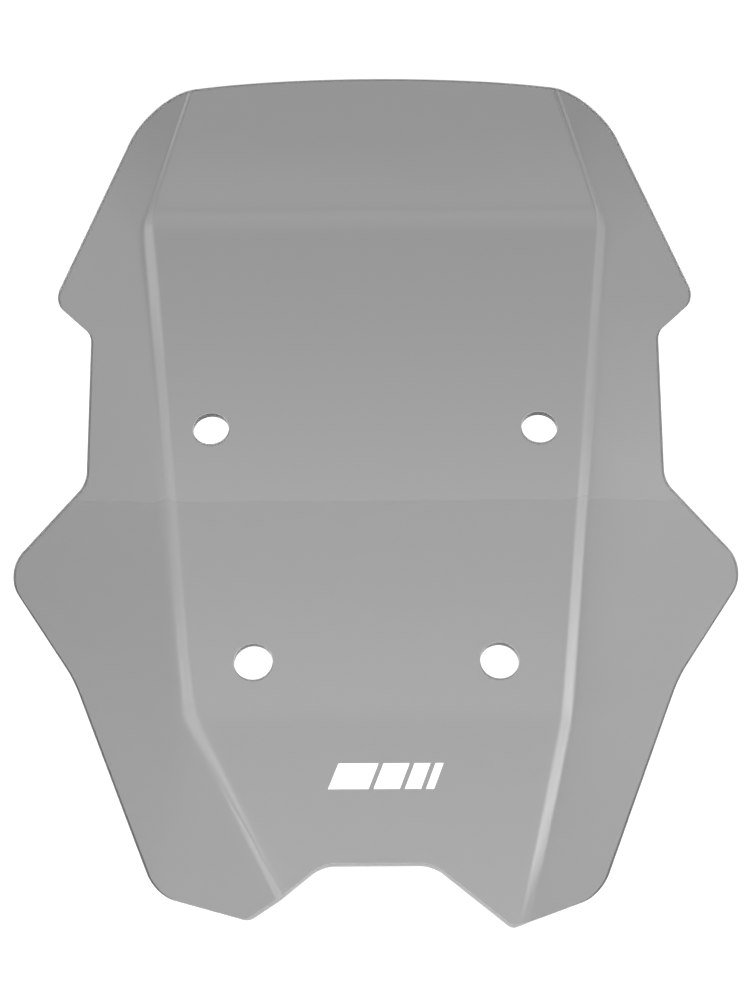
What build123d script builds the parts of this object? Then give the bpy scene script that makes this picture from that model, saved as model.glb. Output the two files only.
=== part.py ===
from build123d import *
import os
from math import cos, radians, sin, tan

# Touring windshield screen: one sheet of smoked acrylic, hot-formed over a mould and then routed to
# its outline, with four bare mounting holes and a film mark on its outer face.
# Millimetres. +Z is up, -Y is forwards, +X is the machine's left, and the screen stands raked as it
# is mounted. The origin is the middle of the four-hole pattern, on the inner face that bears on the
# carrier.

# ---- Driving dimensions -------------------------------------------------------------------------

# Sheet
sheet = 4.0  # thickness of the acrylic, routed square to its faces

# Side profile: three faces, each leaning back from the vertical by its own rake in degrees
main_rake = 29.0
lip_rake = 13.0
skirt_rake = 36.0
upper_bend_z = 192.0  # the main face ends here and the lip starts
lower_bend_z = -88.5  # the main face ends here and the skirt starts
upper_bend_radius = 70.0
lower_bend_radius = 90.0

# Wings: flat faces that fold back from a crease on each side
crease_half_width = 110.0  # crease to middle, at the height of the origin
crease_lean = 8.5  # degrees off the vertical, so that the creases close in downwards
wing_fold = 36.0  # degrees that a wing turns back, in a level section
crease_radius = 20.0  # on the outer face

# Tuck: at the foot of the right-hand wing (-X) the crease closes in further than on the left
tuck_z = -79.0  # height where the tuck leaves the crease
tuck_foot_z = -164.0  # height where the tucked crease meets the lower edge
tuck_inset = 38.5  # how far in from the untucked crease it is there
tuck_spread = 26.9  # how far out from the untucked crease the tuck reaches at the foot's outer corner
tuck_radius = 120.0  # of the soft bend between the tuck and the wing

# Mounting holes: four, on the corners of a trapezoid in the main face
hole_radius = 10.0
upper_hole_spacing = 185.0
lower_hole_spacing = 128.0
hole_row_spacing = 142.0  # measured along the main face

# Outline, seen from straight ahead: the right half's corners as (half width, height, rounding)
crown_height = 284.0
crown_shoulder = (106.0, 278.0)  # where the crowned top edge ends
outline_corners = [
    (143.0, 273.2, 48.0),  # crown corner
    (200.4, 146.0, 12.0),  # tip of the upper wing
    (171.3, 121.8, 10.0),  # notch under it
    (166.8, 31.8, 14.0),  # foot of the waist
    (218.2, -20.2, 18.0),  # tip of the lower wing
    (168.7, -72.3, 30.0),  # shoulder under it
    (163.6, -78.8, 60.0),
    (109.8, -172.7, 20.0),  # outer corner of the foot
    (63.0, -178.6, 6.0),  # point of the foot
    (26.6, -153.2, 18.0),  # end of the level lower edge
]

# Mark: a row of slanted bars cut from white film
mark_film = 0.15
mark_height = 14.0
mark_slant = 20.0  # degrees
mark_bars = (20.0, 13.0, 8.0, 4.0)  # width of each bar
mark_gap = 2.5
mark_centre = (4.5, -116.0)  # X and Z on the skirt

# ---- Planes and points that the faces share -----------------------------------------------------

forming_margin = 40.0  # the sheet before routing reaches this far past the outline
blank_half_width = outline_corners[4][0] + forming_margin
blank_top = crown_height + forming_margin
blank_bottom = outline_corners[8][1] - forming_margin
blank_back = 260.0
outer_y = -sheet / cos(radians(main_rake))  # the outer face at the height of the origin


def along_face(start, rake, z):
    """Point (Y, Z) at height z on the straight profile that leaves start at this rake."""
    return (start[0] + (z - start[1]) * tan(radians(rake)), z)


def crease_x(z):
    """Half width of the creases at height z."""
    return crease_half_width + z * tan(radians(crease_lean))


def wing_point(side, half_width, z):
    """Point on a wing's outer face, side being -1 or 1."""
    main_y = outer_y + z * tan(radians(main_rake))
    return Vector(side * half_width, main_y + (half_width - crease_x(z)) * tan(radians(wing_fold)), z)


def plane_facing_forwards(a, b, c):
    """Plane through three points, with its normal on the road's side."""
    normal = (b - a).cross(c - a)
    return Plane(origin=a, x_dir=b - a, z_dir=normal if normal.Y < 0 else -normal)


def wing_plane(side):
    """Outer face of one wing."""
    near = crease_half_width
    return plane_facing_forwards(
        wing_point(side, near, 0), wing_point(side, near + 100, 0), wing_point(side, near, 100)
    )


def raked_plane(x, y, z, rake):
    """Plane on a face of this rake, with its normal on the road's side and local Y up the face."""
    lean = radians(rake)
    return Plane(origin=(x, y, z), x_dir=(1, 0, 0), z_dir=(0, -cos(lean), sin(lean)))


lower_bend = along_face((outer_y, 0), main_rake, lower_bend_z)
upper_bend = along_face((outer_y, 0), main_rake, upper_bend_z)
main_plane = raked_plane(0, outer_y, 0, main_rake)

# The tuck's face goes through its start on the crease, its outer end and its own foot
foot_corner_z = outline_corners[7][1]
tuck_foot_y = along_face(lower_bend, skirt_rake, tuck_foot_z)[0]
tuck_plane = plane_facing_forwards(
    wing_point(-1, crease_x(tuck_z), tuck_z),
    wing_point(-1, crease_x(foot_corner_z) + tuck_spread, foot_corner_z),
    Vector(tuck_inset - crease_x(tuck_foot_z), tuck_foot_y, tuck_foot_z),
)

# ---- Formed surface: everything that lies behind the sheet's outer face --------------------------


def outer_faces(solid):
    """The faces of a solid that look forwards."""
    return solid.faces().filter_by(lambda face: face.normal_at().Y < -0.1)


def split_by_side(faces):
    """Outer faces of the middle, which are level from side to side, and those of the wings."""
    middle = faces.filter_by(lambda face: abs(face.normal_at().X) < 0.01)
    wings = faces.filter_by(lambda face: abs(face.normal_at().X) >= 0.01)
    return middle, wings


with BuildPart() as form:
    with BuildSketch(Plane.YZ):
        with BuildLine():
            foot_end = along_face(lower_bend, skirt_rake, blank_bottom)
            lip_end = along_face(upper_bend, lip_rake, blank_top)
            FilletPolyline(
                foot_end,
                lower_bend,
                upper_bend,
                lip_end,
                radius=[lower_bend_radius, upper_bend_radius],
            )
            Polyline(lip_end, (blank_back, blank_top), (blank_back, blank_bottom), foot_end)
        make_face()
    extrude(amount=blank_half_width, both=True)

    # The wings and the tuck
    for side in (-1, 1):
        split(bisect_by=wing_plane(side), keep=Keep.BOTTOM)
    split(bisect_by=tuck_plane, keep=Keep.BOTTOM)
    middle, wings = split_by_side(outer_faces(form.part))
    right_wing, tuck = wings.filter_by(lambda face: face.normal_at().X < 0)
    fillet(right_wing.edges() & tuck.edges(), tuck_radius)

    # The creases, where the middle meets the wings
    middle, wings = split_by_side(outer_faces(form.part))
    fillet(middle.edges() & wings.edges(), crease_radius)

# ---- The outline cuts the formed surface, and the sheet grows inwards from it --------------------

with BuildPart() as routed_form:
    with BuildSketch(Plane.XZ):
        with BuildLine():
            left_half = [(-x, z, rounding) for x, z, rounding in reversed(outline_corners)]
            corners = outline_corners + left_half
            shoulder_x, shoulder_z = crown_shoulder
            FilletPolyline(
                (shoulder_x, shoulder_z),
                *[(x, z) for x, z, rounding in corners],
                (-shoulder_x, shoulder_z),
                radius=[rounding for x, z, rounding in corners],
            )
            ThreePointArc((-shoulder_x, shoulder_z), (0, crown_height), (shoulder_x, shoulder_z))
        make_face()
    extrude(amount=blank_back + forming_margin, both=True)
    add(form.part, mode=Mode.INTERSECT)

with BuildPart() as screen:
    add(Solid.thicken(Shell(outer_faces(routed_form.part)), -sheet))
    hole_places = [
        main_plane.location * Location((side * spacing / 2, row * hole_row_spacing / 2, 0))
        for row, spacing in ((1, upper_hole_spacing), (-1, lower_hole_spacing))
        for side in (-1, 1)
    ]
    with Locations(*hole_places):
        Hole(radius=hole_radius, depth=sheet)

# ---- Film mark on the skirt -----------------------------------------------------------------------

mark_x, mark_z = mark_centre
mark_y = along_face(lower_bend, skirt_rake, mark_z)[0]
mark_length = sum(mark_bars) + mark_gap * (len(mark_bars) - 1)

with BuildPart() as mark:
    with BuildSketch(raked_plane(mark_x, mark_y, mark_z, skirt_rake)):
        lean = mark_height * tan(radians(mark_slant))
        start = -(mark_length + lean) / 2
        for width in mark_bars:
            with BuildLine():
                Polyline(
                    (start, -mark_height / 2),
                    (start + width, -mark_height / 2),
                    (start + width + lean, mark_height / 2),
                    (start + lean, mark_height / 2),
                    close=True,
                )
            make_face()
            start += width + mark_gap
    extrude(amount=mark_film)

# ---- Files ----------------------------------------------------------------------------------------

screen.part.label = "screen"
mark.part.label = "mark"

os.makedirs("parts", exist_ok=True)
for piece in (screen, mark):
    export_step(piece.part, f"parts/{piece.part.label}.step")

size = screen.part.bounding_box().size
print(f"screen {size.X:.1f} x {size.Y:.1f} x {size.Z:.1f} mm, {screen.part.volume / 1000:.1f} cm3")
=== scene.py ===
# %% [markdown]
# # Touring windshield screen
# One sheet of smoked acrylic, hot-formed over a mould, routed to its outline and drilled for four
# bolts, with a small white film mark low on its outer face. The engineering model is loaded first
# and stays as it is: it is the frame that everything here has to agree with. Lengths are metres, +Z
# is up, -Y is the road's side and +X the machine's left, and the origin is the middle of the four
# holes, on the face that bears on the carrier.

from math import cos, degrees, hypot, pi, radians, sin, tan

import bpy
from mathutils import Matrix, Vector


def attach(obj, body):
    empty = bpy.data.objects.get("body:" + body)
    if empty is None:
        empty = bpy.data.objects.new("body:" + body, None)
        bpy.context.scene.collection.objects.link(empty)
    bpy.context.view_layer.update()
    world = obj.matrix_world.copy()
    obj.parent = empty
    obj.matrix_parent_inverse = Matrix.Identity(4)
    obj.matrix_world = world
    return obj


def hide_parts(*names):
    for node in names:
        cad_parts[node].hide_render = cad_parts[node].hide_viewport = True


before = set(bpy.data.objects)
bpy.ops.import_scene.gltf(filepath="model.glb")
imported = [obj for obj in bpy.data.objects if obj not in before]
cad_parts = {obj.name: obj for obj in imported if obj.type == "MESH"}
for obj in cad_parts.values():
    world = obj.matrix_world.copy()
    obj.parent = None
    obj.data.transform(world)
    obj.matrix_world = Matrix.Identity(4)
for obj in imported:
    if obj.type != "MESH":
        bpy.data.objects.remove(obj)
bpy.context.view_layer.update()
print("nodes:", sorted(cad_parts))

# %% [markdown]
# The sheet's main dimensions, written in millimetres as on its drawing and turned to metres where
# they are used. Three flat faces lean back one above the other: a skirt, the tall main face and a
# lip. A wing folds back on each side of them, and the creases between close in downwards. The two
# sides are not alike at the foot: the right-hand crease is tucked in, and the left-hand one opens
# out.

# %% The sheet's dimensions
MM = 0.001
SHEET = 4 * MM
MAIN_RAKE, LIP_RAKE, SKIRT_RAKE = radians(29), radians(13), radians(36)
UPPER_BEND_Z, LOWER_BEND_Z = 192 * MM, -88.5 * MM
UPPER_BEND_RADIUS, LOWER_BEND_RADIUS = 70 * MM, 90 * MM
CREASE_HALF_WIDTH, CREASE_LEAN = 110 * MM, radians(8.5)
WING_FOLD = radians(36)
CREASE_RADIUS = 20 * MM
LIP_SHARE = 0.35  # on the lip the creases sharpen to this share of their radius
SHARPENS_FROM, SHARPENS_OVER = 185 * MM, 30 * MM  # the height where that starts, and its length
TUCK_Z = -66 * MM  # below it the right-hand crease closes in further: the tuck
TUCK_INNER, TUCK_OUTER = (47 * MM, -164 * MM), (111 * MM, -173 * MM)  # where its edges end
TUCK_RADIUS = 120 * MM
FLARE_SLOPE = 0.07  # on the skirt the left-hand crease runs this much further out per metre down
OUTER_Y = -SHEET / cos(MAIN_RAKE)  # the outer face at the height of the origin
MARGIN = 45 * MM  # the blank reaches this far past the outline
TOP_Z, BOTTOM_Z = 284 * MM + MARGIN, -178.6 * MM - MARGIN
HALF_WIDTH = 218.2 * MM + MARGIN

# %% [markdown]
# Edit mode's tools act on whatever is selected, and a new primitive comes selected all over. These
# helpers start from nothing selected, pick elements by where they are, and run a tool on them.

# %% Helpers for selecting and cutting


def only(piece):
    """Selects this object alone and makes it the active one."""
    bpy.ops.object.select_all(action="DESELECT")
    piece.select_set(True)
    bpy.context.view_layer.objects.active = piece


def pick(piece, kind, test):
    """In edit mode, selects the piece's vertices, edges or faces that pass the test."""
    bpy.ops.mesh.select_mode(type={"vertices": "VERT", "edges": "EDGE", "polygons": "FACE"}[kind])
    bpy.ops.mesh.select_all(action="DESELECT")
    bpy.ops.object.mode_set(mode="OBJECT")
    found = [element for element in getattr(piece.data, kind) if test(element)]
    for element in found:
        element.select = True
    bpy.ops.object.mode_set(mode="EDIT")
    return len(found)


def apply_modifier(piece, name):
    """Applies one modifier of the piece."""
    only(piece)
    bpy.ops.object.modifier_apply(modifier=name)


print("helpers ready")

# %% [markdown]
# The faces are flat, so the outer face can be written down: at any place seen from straight ahead
# it is as deep as the foremost or hindmost of a few raked planes. The net of points that shapes the
# mesh is read from these, and so is the line of each crease.

# %% The outer face as planes


def main_y(z):
    """Depth of the main face at height z."""
    return OUTER_Y + z * tan(MAIN_RAKE)


def middle_y(z):
    """Depth of the skirt, the main face or the lip, whichever is there at height z."""
    lip = main_y(UPPER_BEND_Z) + (z - UPPER_BEND_Z) * tan(LIP_RAKE)
    skirt = main_y(LOWER_BEND_Z) + (z - LOWER_BEND_Z) * tan(SKIRT_RAKE)
    return min(main_y(z), lip, skirt)


def wing_y(half_width, z):
    """Depth of a wing, which turns back from the crease."""
    crease = CREASE_HALF_WIDTH + z * tan(CREASE_LEAN)
    return main_y(z) + (half_width - crease) * tan(WING_FOLD)


def crease_x(z):
    """Half width at which a wing meets the middle."""
    return CREASE_HALF_WIDTH + z * tan(CREASE_LEAN) + (middle_y(z) - main_y(z)) / tan(WING_FOLD)


tuck_top = Vector((-crease_x(TUCK_Z), main_y(TUCK_Z), TUCK_Z))
tuck_in = Vector((-TUCK_INNER[0], middle_y(TUCK_INNER[1]), TUCK_INNER[1]))
tuck_out = Vector((-TUCK_OUTER[0], wing_y(*TUCK_OUTER), TUCK_OUTER[1]))
tuck_normal = (tuck_in - tuck_top).cross(tuck_out - tuck_top).normalized()


def tuck_y(x, z):
    """Depth of the tuck's plane."""
    reach = tuck_normal.dot(tuck_top) - tuck_normal.x * x - tuck_normal.z * z
    return reach / tuck_normal.y


def tucked_x(z):
    """Where the tuck meets the middle, as an x on the right-hand side."""
    share = (tuck_top.z - z) / (tuck_top.z - tuck_in.z)
    if z > LOWER_BEND_Z:
        at_bend = tucked_x(LOWER_BEND_Z)
        share = (tuck_top.z - z) / (tuck_top.z - LOWER_BEND_Z)
        return tuck_top.x + share * (at_bend - tuck_top.x)
    rise = tuck_normal.dot(tuck_top) - tuck_normal.y * middle_y(z) - tuck_normal.z * z
    return rise / tuck_normal.x


def flare(z):
    """How far out the left-hand crease runs on the skirt, past where flat faces would meet."""
    return max(0.0, LOWER_BEND_Z - z) * FLARE_SLOPE


def outer_y(x, z):
    """Depth of the sheet's outer face."""
    depth = max(middle_y(z), wing_y(abs(x) - (flare(z) if x > 0 else 0), z))
    return max(depth, tuck_y(x, z)) if x < 0 and z < TUCK_Z else depth


print("crease half widths:", [round(crease_x(z) / MM, 1) for z in (0.28, 0.1, -0.08, -0.17)])
print("tucked crease at the foot:", round(tucked_x(-0.164) / MM, 1), "mm")

# %% [markdown]
# A hot sheet takes no sharp line from its mould. Subdivision rounds a net of points in the same
# way: two points a short step either side of a fold, and two more a step further out, give a bend
# that starts and ends softly, and the faces between stay flat. The step is the bend's radius times
# half its turn. The net is a grid whose columns follow the creases and whose rows follow the bends.

# %% Rows and columns of the net


def steps(radius, turn):
    """Four offsets across a fold that round it to this radius."""
    step = radius * turn / 2
    return [-1.5 * step, -0.5 * step, 0.5 * step, 1.5 * step]


upper_steps = [s * cos(MAIN_RAKE) for s in steps(UPPER_BEND_RADIUS, MAIN_RAKE - LIP_RAKE)]
lower_steps = [s * cos(MAIN_RAKE) for s in steps(LOWER_BEND_RADIUS, SKIRT_RAKE - MAIN_RAKE)]
crease_steps = steps(CREASE_RADIUS, radians(34))
tuck_steps = steps(TUCK_RADIUS, radians(9.4))
ROWS = sorted(
    [TOP_Z, BOTTOM_Z, 0.09, 0.0, -0.045, -0.066, -0.118, -0.15]
    + [UPPER_BEND_Z + s for s in upper_steps]
    + [LOWER_BEND_Z + s for s in lower_steps]
)


def softness(z):
    """The share of its full radius that a crease has at height z."""
    return max(LIP_SHARE, min(1.0, 1 - (z - SHARPENS_FROM) / SHARPENS_OVER))


def left_columns(z):
    """The +X half of a row, from the middle outwards."""
    crease = crease_x(z) + flare(z)
    return [crease + s * softness(z) for s in crease_steps] + [HALF_WIDTH]


def right_columns(z):
    """The -X half of a row, from the edge inwards, with the tuck's soft outer bend."""
    crease = tucked_x(z) if z < TUCK_Z else -crease_x(z)
    share = max(0.0, (TUCK_Z - z) / (TUCK_Z - TUCK_OUTER[1]))
    bend = tuck_top.x + share * (tuck_out.x - tuck_top.x)
    clear = crease - crease_steps[3] - 4 * MM
    outer = []
    for count, s in enumerate(tuck_steps):
        outer.append(min(bend - s, clear - count * 6 * MM))
    return [-HALF_WIDTH] + outer[::-1] + [crease - s * softness(z) for s in crease_steps[::-1]]


net = [right_columns(z) + [0.0] + left_columns(z) for z in ROWS]
print("net:", len(ROWS), "rows of", len(net[0]), "points")

# %% Net and subdivision
bpy.ops.object.select_all(action="DESELECT")
bpy.ops.mesh.primitive_grid_add(
    x_subdivisions=len(net[0]) - 1,
    y_subdivisions=len(ROWS) - 1,
    size=1,
    rotation=(radians(90), 0, 0),
)
screen = bpy.context.object
screen.name = screen.data.name = "formed_screen"
bpy.ops.object.transform_apply(location=True, rotation=True, scale=True)
points = sorted(screen.data.vertices, key=lambda v: (round(v.co.z, 5), v.co.x))
for index, point in enumerate(points):
    row, column = divmod(index, len(net[0]))
    x, z = net[row][column], ROWS[row]
    point.co = (x, outer_y(x, z), z)
rounding = screen.modifiers.new("rounding", "SUBSURF")
rounding.levels = rounding.render_levels = 3
apply_modifier(screen, "rounding")
print("formed face:", len(screen.data.polygons), "faces")

# %% Block behind the outer face
bpy.ops.object.mode_set(mode="EDIT")
bpy.ops.mesh.select_all(action="SELECT")
bpy.ops.mesh.extrude_region_move(TRANSFORM_OT_translate={"value": (0, 0.6, 0)})
bpy.ops.mesh.select_all(action="SELECT")
bpy.ops.mesh.normals_make_consistent(inside=False)
bpy.ops.object.mode_set(mode="OBJECT")

# %% [markdown]
# The outline is what the router follows. It is traced like a drawing seen from straight ahead: one
# vertex is extruded from corner to corner, the loop is filled, and each corner is bevelled by its
# own rounding. The top edge is one long shallow arc. Extruded through the blank it is the cutter.

# %% Outline
CROWN_APEX = (0, 291.3 * MM)  # where the tangents from both shoulders meet
CROWN_SHOULDER = 106 * MM
OUTLINE = [
    (143, 273.2, 48),  # crown corner: half width, height and rounding
    (200.4, 146, 12),  # tip of the upper wing
    (171.3, 121.8, 10),  # notch under it
    (166.8, 31.8, 14),  # foot of the waist
    (218.2, -20.2, 18),  # tip of the lower wing
    (168.7, -72.3, 30),  # shoulder under it
    (163.6, -78.8, 60),
    (109.8, -172.7, 20),  # outer corner of the foot
    (63, -178.6, 6),  # point of the foot
    (26.6, -153.2, 18),  # end of the level lower edge
]
right_side = [(Vector((x * MM, 0, z * MM)), rounding * MM) for x, z, rounding in OUTLINE]
left_side = [(Vector((-x * MM, 0, z * MM)), rounding * MM) for x, z, rounding in OUTLINE[::-1]]
corners = [(Vector((CROWN_APEX[0], 0, CROWN_APEX[1])), None)] + right_side + left_side

bpy.ops.object.select_all(action="DESELECT")
bpy.ops.mesh.primitive_plane_add(size=0.01, location=(0, -0.3, 0), rotation=(radians(90), 0, 0))
cutter = bpy.context.object
cutter.name = "router_path"
bpy.ops.object.transform_apply(location=True, rotation=True, scale=True)
bpy.ops.object.mode_set(mode="EDIT")
bpy.ops.mesh.select_mode(type="VERT")
bpy.ops.mesh.select_all(action="SELECT")
bpy.ops.mesh.merge(type="CENTER")
bpy.ops.mesh.select_all(action="SELECT")
bpy.ops.transform.translate(value=corners[0][0])
for (here, _), (there, _) in zip(corners, corners[1:]):
    bpy.ops.mesh.extrude_vertices_move(TRANSFORM_OT_translate={"value": there - here})
bpy.ops.mesh.select_all(action="SELECT")
bpy.ops.mesh.edge_face_add()
for index, (place, rounding) in enumerate(corners):
    before, after = corners[index - 1][0], corners[(index + 1) % len(corners)][0]
    turn = (place - before).angle(after - place)
    reach = hypot(CROWN_SHOULDER, 0.012) if rounding is None else rounding * tan(turn / 2)
    arc_steps = max(3, round(min(reach * 2 / (1.5 * MM), degrees(turn) / 3))) if rounding else 20
    pick(cutter, "vertices", lambda v: (v.co - place - Vector((0, -0.3, 0))).length < 1e-5)
    bpy.ops.mesh.bevel(
        affect="VERTICES", offset=reach, segments=arc_steps, profile=0.5
    )
bpy.ops.mesh.select_all(action="SELECT")
bpy.ops.mesh.extrude_region_move(TRANSFORM_OT_translate={"value": (0, 0.9, 0)})
bpy.ops.mesh.select_all(action="SELECT")
bpy.ops.mesh.normals_make_consistent(inside=False)
bpy.ops.object.mode_set(mode="OBJECT")
print("outline:", len(cutter.data.vertices) // 2, "points")

# %% [markdown]
# The outline keeps what is inside it. Everything behind the front is then deleted, and what is left
# is the sheet's outer face, which grows inwards to the sheet's thickness. So the cut edges stand
# square to the sheet, as a router leaves them.

# %% Routing to the outline


def cut_with(tool, operation):
    """Keeps or removes what is inside a closed tool, and deletes the tool."""
    cut = screen.modifiers.new("cut", "BOOLEAN")
    cut.object, cut.operation, cut.solver = tool, operation, "EXACT"
    cut.material_mode = "TRANSFER"
    apply_modifier(screen, "cut")
    bpy.data.objects.remove(tool)


cut_with(cutter, "INTERSECT")
bpy.ops.object.mode_set(mode="EDIT")
pick(screen, "polygons", lambda face: face.normal.y > -0.1)
bpy.ops.mesh.delete(type="FACE")
bpy.ops.mesh.select_all(action="SELECT")
bpy.ops.mesh.remove_doubles(threshold=0.2 * MM)
bpy.ops.mesh.dissolve_limited(angle_limit=radians(0.05))
bpy.ops.object.mode_set(mode="OBJECT")
print("outer face:", len(screen.data.polygons), "faces")

# %% Wall
# The outline's cut left one empty slot, number 0, which holds the sheet's own faces. Numbers 1
# and 2 tell the routed and the drilled faces apart until they are written to an attribute.
SHEET_FACE, CUT_FACE, DRILLED_FACE = 0, 1, 2
cut_stock, drilled_stock = (bpy.data.materials.new(name) for name in ("cut_face", "drilled_face"))
screen.data.materials.append(cut_stock)
wall = screen.modifiers.new("wall", "SOLIDIFY")
wall.thickness, wall.offset, wall.use_quality_normals = SHEET, -1, True
wall.material_offset_rim = CUT_FACE
apply_modifier(screen, "wall")
print("with its wall:", len(screen.data.polygons), "faces")

# %% [markdown]
# Four drills stand square to the main face, on the corners of a trapezoid, and take out the holes.
# A small bevel then breaks every cut edge.

# %% Holes and broken edges
HOLE_RADIUS = 10 * MM
HOLE_ROWS = ((71 * MM, 92.5 * MM), (-71 * MM, 64 * MM))  # height along the face, half spacing
for along, half_spacing in HOLE_ROWS:
    for side in (-1, 1):
        bpy.ops.object.select_all(action="DESELECT")
        bpy.ops.mesh.primitive_cylinder_add(
            vertices=72,
            radius=HOLE_RADIUS,
            depth=20 * MM,
            location=(
                side * half_spacing,
                OUTER_Y + along * sin(MAIN_RAKE),
                along * cos(MAIN_RAKE),
            ),
            rotation=(radians(90) - MAIN_RAKE, 0, 0),
        )
        bpy.ops.object.transform_apply(location=True, rotation=True, scale=True)
        drill = bpy.context.object
        drill.data.materials.append(drilled_stock)
        cut_with(drill, "DIFFERENCE")
rim = screen.modifiers.new("rim", "BEVEL")
rim.width, rim.segments, rim.limit_method, rim.angle_limit = 0.3 * MM, 2, "ANGLE", radians(60)
rim.use_clamp_overlap = False
rim.material = CUT_FACE
apply_modifier(screen, "rim")
only(screen)
bpy.ops.object.shade_smooth_by_angle(angle=radians(35))
shading = screen.modifiers.new("shading", "WEIGHTED_NORMAL")
shading.keep_sharp = True
shading.weight = 100
apply_modifier(screen, "shading")

# %% Which faces are machined
MACHINED = {SHEET_FACE: 0.0, CUT_FACE: 1.0, DRILLED_FACE: 0.3}  # a drilled wall is nearly glossy
machined = screen.data.attributes.new("routed", "FLOAT", "FACE")
for polygon in screen.data.polygons:
    machined.data[polygon.index].value = MACHINED[polygon.material_index]
    polygon.material_index = 0
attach(screen, "root")
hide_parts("screen")
print("screen:", len(screen.data.polygons), "faces, box", [round(v, 4) for v in screen.dimensions])

# %% [markdown]
# Colours are written as the hex values that a painter or a web page would give, and one function
# turns them to the linear light that shaders work in. Another adds a shader node with its settings
# and its links, so that each material below reads as a short list.

# %% Colour and node helpers


def colour(hex_value):
    """Linear RGBA of an sRGB hex colour."""
    parts = [int(hex_value[i : i + 2], 16) / 255 for i in (1, 3, 5)]
    linear = [c / 12.92 if c <= 0.04045 else ((c + 0.055) / 1.055) ** 2.4 for c in parts]
    return (*linear, 1.0)


def add_node(tree, kind, settings=None, values=None, links=None):
    """Adds a node, sets its properties and input values, and links outputs to its inputs."""
    made = tree.nodes.new(kind)
    for name, value in (settings or {}).items():
        setattr(made, name, value)
    for socket, value in (values or {}).items():
        made.inputs[socket].default_value = value
    for socket, source in (links or {}).items():
        tree.links.new(source, made.inputs[socket])
    return made


def new_material(name):
    """An empty node material and its output."""
    material = bpy.data.materials.new(name)
    material.use_nodes = True
    material.node_tree.nodes.clear()
    return material, add_node(material.node_tree, "ShaderNodeOutputMaterial")


print("white is", [round(c, 3) for c in colour("#FFFFFF")])

# %% [markdown]
# The sheet is cast acrylic with a neutral smoke dye all through it. Dye takes its share of the
# light for every millimetre passed, so it is an absorption inside the mesh and not a colour on its
# skin: that gives the eye darker wings, which are looked through at a slant, and nearly black lines
# where light runs along a cut edge. Hot-forming leaves the gloss with slow waves a few centimetres
# long, and wiping leaves faint hairlines. The routed edge is matt, because the cutter's marks stay,
# and it scatters a little of the light that falls on it, so it is greyer and not as clear as the
# faces.

# %% Smoked acrylic, cast and thermoformed
SMOKE_DENSITY = 312  # absorption per metre: 4 mm lets about 3 parts in 10 through
ROUTED_ROUGHNESS, ROUTED_CLEARNESS = 0.6, 0.82
acrylic, surface = new_material("smoked_cast_acrylic_thermoformed")
tree = acrylic.node_tree
place = add_node(tree, "ShaderNodeTexCoord").outputs["Object"]
waves = add_node(
    tree,
    "ShaderNodeTexNoise",
    values={"Scale": 1 / (55 * MM), "Detail": 1.0, "Roughness": 0.4},
    links={"Vector": place},
)
hairlines = add_node(
    tree,
    "ShaderNodeTexNoise",
    values={"Scale": 1 / (0.8 * MM), "Detail": 2.0, "Roughness": 0.6},
    links={
        "Vector": add_node(
            tree, "ShaderNodeMapping", values={"Scale": (0.04, 1, 1)}, links={"Vector": place}
        ).outputs["Vector"]
    },
)
forming = add_node(
    tree,
    "ShaderNodeBump",
    values={"Strength": 0.35, "Distance": 1.0 * MM},
    links={"Height": waves.outputs["Fac"]},
)
routed = add_node(tree, "ShaderNodeAttribute", settings={"attribute_name": "routed"}).outputs["Fac"]
gloss = add_node(
    tree,
    "ShaderNodeMapRange",
    values={"From Min": 0.35, "From Max": 0.75, "To Min": 0.01, "To Max": 0.03},
    links={"Value": hairlines.outputs["Fac"]},
)
finish = add_node(
    tree,
    "ShaderNodeMix",
    settings={"data_type": "FLOAT"},
    values={"B": ROUTED_ROUGHNESS},
    links={"Factor": routed, "A": gloss.outputs["Result"]},
)
clearness = add_node(
    tree,
    "ShaderNodeMix",
    settings={"data_type": "FLOAT"},
    values={"A": 1.0, "B": ROUTED_CLEARNESS},
    links={"Factor": routed},
)
skin = add_node(
    tree,
    "ShaderNodeBsdfPrincipled",
    values={"Base Color": colour("#FFFFFF"), "IOR": 1.49},
    links={
        "Roughness": finish.outputs["Result"],
        "Transmission Weight": clearness.outputs["Result"],
        "Normal": forming.outputs["Normal"],
    },
)
dye = add_node(
    tree,
    "ShaderNodeVolumeAbsorption",
    values={"Color": colour("#000000"), "Density": SMOKE_DENSITY},
)
tree.links.new(skin.outputs["BSDF"], surface.inputs["Surface"])
tree.links.new(dye.outputs["Volume"], surface.inputs["Volume"])
screen.data.materials.clear()
screen.data.materials.append(acrylic)
print("acrylic:", len(tree.nodes), "nodes")

# %% [markdown]
# The mark is cut from white cast vinyl film and stays as the engineering model has it: four slanted
# bars, 0.15 mm thick, lying on the outer face. Film is satin, with a very fine orange peel from the
# adhesive under it, and it is not quite evenly white.

# %% White vinyl film, plotter-cut
film, surface = new_material("white_cast_vinyl_film")
tree = film.node_tree
place = add_node(tree, "ShaderNodeTexCoord").outputs["Object"]
peel = add_node(
    tree,
    "ShaderNodeTexNoise",
    values={"Scale": 1 / (1.2 * MM), "Detail": 2.0},
    links={"Vector": place},
)
tone = add_node(
    tree,
    "ShaderNodeMix",
    settings={"data_type": "RGBA"},
    values={"A": colour("#F2F2F0"), "B": colour("#FAFAFA")},
    links={"Factor": peel.outputs["Fac"]},
)
skin = add_node(
    tree,
    "ShaderNodeBsdfPrincipled",
    values={"Roughness": 0.42, "IOR": 1.5},
    links={
        "Base Color": tone.outputs["Result"],
        "Normal": add_node(
            tree,
            "ShaderNodeBump",
            values={"Strength": 0.2, "Distance": 0.02 * MM},
            links={"Height": peel.outputs["Fac"]},
        ).outputs["Normal"],
    },
)
tree.links.new(skin.outputs["BSDF"], surface.inputs["Surface"])
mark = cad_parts["mark"]
mark.data.materials.clear()
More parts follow.
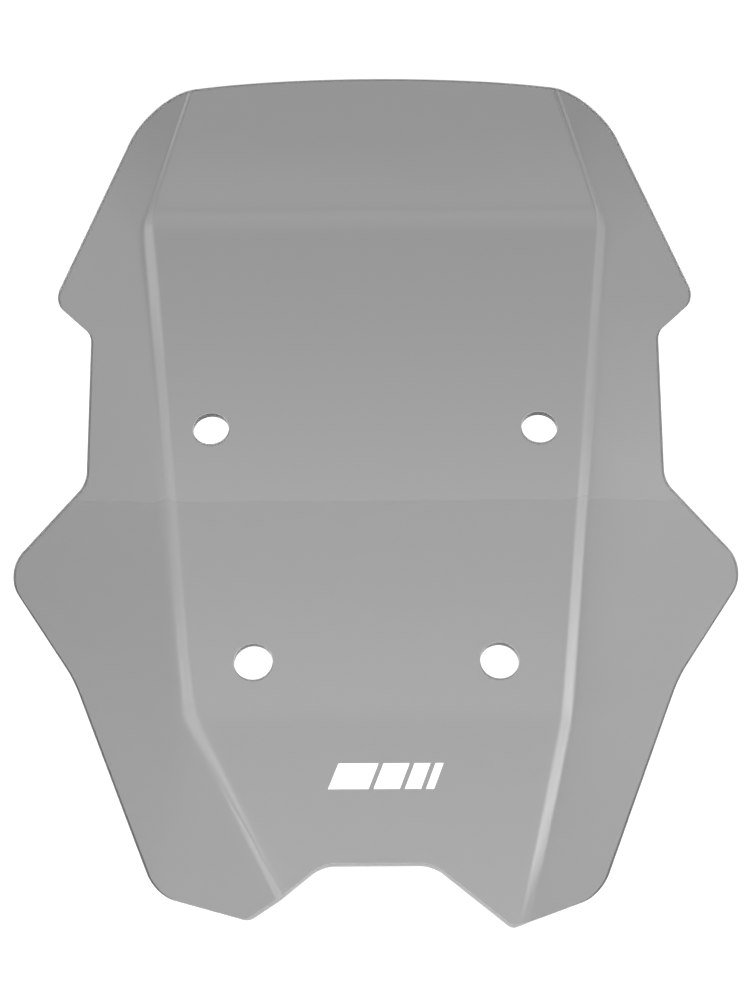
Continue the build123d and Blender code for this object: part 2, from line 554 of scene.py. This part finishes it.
mark.data.materials.append(film)
print("film on:", mark.name)

# %% [markdown]
# The studio is a pale floor that runs on to the horizon and a pale sky. Behind the screen both are
# brighter than white paper, so they wash out, and only what the smoke takes away is seen. The sky
# has steps higher up, because each flat face mirrors its own small part of it. Softboxes stand in
# front on both sides for the creases: a crease turns through all the directions between a flat
# middle and a flat wing, so it picks up a softbox that neither of them can see. The levels were
# turned up and down, render by render, until the creases were about as bright as on the real sheet
# seen from the camera. They belong to this view: from another side the same lamps light the sheet
# differently.

# %% Floor
FLOOR_Z, FLOOR_SIZE = -0.45, 2000
bpy.ops.object.select_all(action="DESELECT")
bpy.ops.mesh.primitive_plane_add(size=FLOOR_SIZE, location=(0, 0, FLOOR_Z))
floor = bpy.context.object
floor.name = "studio_floor"
paper, surface = new_material("matt_white_paper")
tree = paper.node_tree
skin = add_node(
    tree,
    "ShaderNodeBsdfPrincipled",
    values={"Base Color": colour("#F7F7F7"), "Roughness": 0.9, "Specular IOR Level": 0.0},
)
tree.links.new(skin.outputs["BSDF"], surface.inputs["Surface"])
floor.data.materials.append(paper)
print("floor at", FLOOR_Z)

# %% A helper for stepped brightness


def grade(tree, stops, position, interpolation="LINEAR"):
    """A colour ramp of greys, given as (place, level) stops, read at a position socket."""
    ramp = add_node(tree, "ShaderNodeValToRGB", links={"Fac": position})
    ramp.color_ramp.interpolation = interpolation
    for _ in range(len(stops) - 2):
        ramp.color_ramp.elements.new(0.5)
    for stop, (place, level) in zip(ramp.color_ramp.elements, stops):
        stop.position, stop.color = place, (level, level, level, 1)
    return ramp.outputs["Color"]


print("ramp helper ready")

# %% Sky
world = bpy.data.worlds.new("pale_studio")
bpy.context.scene.world = world
world.use_nodes = True
tree = world.node_tree
tree.nodes.clear()
direction = add_node(tree, "ShaderNodeTexCoord").outputs["Generated"]
height = add_node(tree, "ShaderNodeSeparateXYZ", links={"Vector": direction}).outputs["Z"]
SKY = (  # the sine of the height above the horizon, and the radiance there
    (0.0, 1.32),
    (0.12, 1.15),
    (0.25, 1.03),
    (0.32, 1.1),
    (0.38, 1.0),
    (0.44, 1.15),
    (0.52, 1.6),
    (0.57, 1.65),
    (0.63, 0.95),
    (0.72, 1.45),
    (0.8, 1.5),
    (0.87, 1.3),
    (0.92, 1.2),
    (1.0, 1.7),
)
sky = add_node(tree, "ShaderNodeBackground", links={"Color": grade(tree, SKY, height)})
add_node(tree, "ShaderNodeOutputWorld", links={"Surface": sky.outputs["Background"]})
print("sky steps:", len(SKY))

# %% A softbox
ACROSS, UP_THE_CREASE = Vector((0.776, 0.507, -0.378)), Vector((-0.03, 0.65, 0.76))
LAMPS_MIDDLE = Vector((0.765, -0.42, 0.78))
SOFT_SIDES = ((0, 0), (0.3, 1), (0.7, 1), (1, 0))  # how a softbox fades towards its long sides


def softbox(name, side, across, width, levels):
    """A softbox on one side, in the slanting plane where that crease's reflections run. Its levels
    are (distance up the crease, radiance), from its foot to its head."""
    foot, head = levels[0][0], levels[-1][0]
    axes = [ACROSS.copy(), UP_THE_CREASE.copy()]
    centre = LAMPS_MIDDLE + UP_THE_CREASE * (foot + head) / 2 + ACROSS * across
    for vector in (centre, *axes):
        vector.x *= side
    lamp = bpy.data.lights.new(name, "AREA")
    lamp.shape, lamp.size, lamp.size_y = "RECTANGLE", width, head - foot
    lamp.energy = pi * width * (head - foot)  # a radiance of one, which the levels multiply
    lamp.use_nodes = True
    tree = lamp.node_tree
    tree.nodes.clear()
    spot = add_node(tree, "ShaderNodeNewGeometry").outputs["Parametric"]
    spot = add_node(tree, "ShaderNodeSeparateXYZ", links={"Vector": spot})
    steps_up = [((up - foot) / (head - foot), level) for up, level in levels]
    glow = add_node(
        tree,
        "ShaderNodeMath",
        settings={"operation": "MULTIPLY"},
        links={
            0: grade(tree, steps_up, spot.outputs["Y"]),
            1: grade(tree, SOFT_SIDES, spot.outputs["X"], "EASE"),
        },
    )
    light = add_node(tree, "ShaderNodeEmission", links={"Strength": glow.outputs["Value"]})
    add_node(tree, "ShaderNodeOutputLight", links={"Surface": light.outputs["Emission"]})
    held = bpy.data.objects.new(name, lamp)
    bpy.context.scene.collection.objects.link(held)
    right = axes[0].normalized() * side
    upward = (axes[1] - right * axes[1].dot(right)).normalized()
    turned = Matrix((right, upward, right.cross(upward))).transposed().to_4x4()
    held.matrix_world = Matrix.Translation(centre) @ turned
    held.visible_camera = held.visible_transmission = False


print("softboxes face back along:", [round(c, 2) for c in ACROSS.cross(UP_THE_CREASE)])

# %% Lamps
LEFT_LEVELS = (
    (-0.5, 0),
    (-0.35, 0),
    (-0.3, 2.8),
    (-0.24, 5.6),
    (-0.17, 5.0),
    (-0.05, 3.4),
    (0.1, 1.6),
    (0.2, 1.2),
    (0.45, 1.2),
)
LEFT_WING_LEVELS = ((-0.45, 0), (-0.25, 0.5), (-0.05, 1.1), (0.15, 1.1), (0.4, 0))
RIGHT_LEVELS = (
    (-0.36, 0),
    (-0.27, 2.4),
    (-0.2, 2.1),
    (-0.1, 1.3),
    (0.0, 1.1),
    (0.2, 1.1),
    (0.27, 2.1),
    (0.45, 2.1),
)
RIGHT_FOOT_LEVELS = ((-0.5, 1.0), (-0.4, 2.3), (-0.32, 3.0), (-0.24, 3.6), (-0.08, 0))
softbox("softbox_left", 1, 0.1, 0.86, LEFT_LEVELS)
softbox("softbox_left_wing", 1, 0.9, 0.8, LEFT_WING_LEVELS)
softbox("softbox_right", -1, -0.06, 0.86, RIGHT_LEVELS)
softbox("softbox_right_foot", -1, -0.2, 0.66, RIGHT_FOOT_LEVELS)
wash = bpy.data.lights.new("floor_wash", "AREA")  # brightens the floor behind the screen
wash.size, wash.energy = 2.0, 17.0
held_wash = bpy.data.objects.new("floor_wash", wash)
held_wash.location = (0, 2.2, 4.0)
held_wash.visible_camera = held_wash.visible_transmission = held_wash.visible_glossy = False
bpy.context.scene.collection.objects.link(held_wash)

# %% [markdown]
# The camera stands straight ahead at the height of the screen's middle, a short metre away, with a
# slightly long lens and a third of a degree of roll. The view transform is the plain one, so that
# white stays white.

# %% Camera
camera_data = bpy.data.cameras.new("camera")
camera_data.lens, camera_data.sensor_width = 56.5, 36
camera = bpy.data.objects.new("camera", camera_data)
bpy.context.scene.collection.objects.link(camera)
camera.location = (-0.0003, -0.8538, 0.0213)
camera.rotation_euler = (radians(90), radians(0.3), 0)
bpy.context.scene.camera = camera
bpy.context.scene.view_settings.view_transform = "Standard"
bpy.context.scene.view_settings.look = "None"
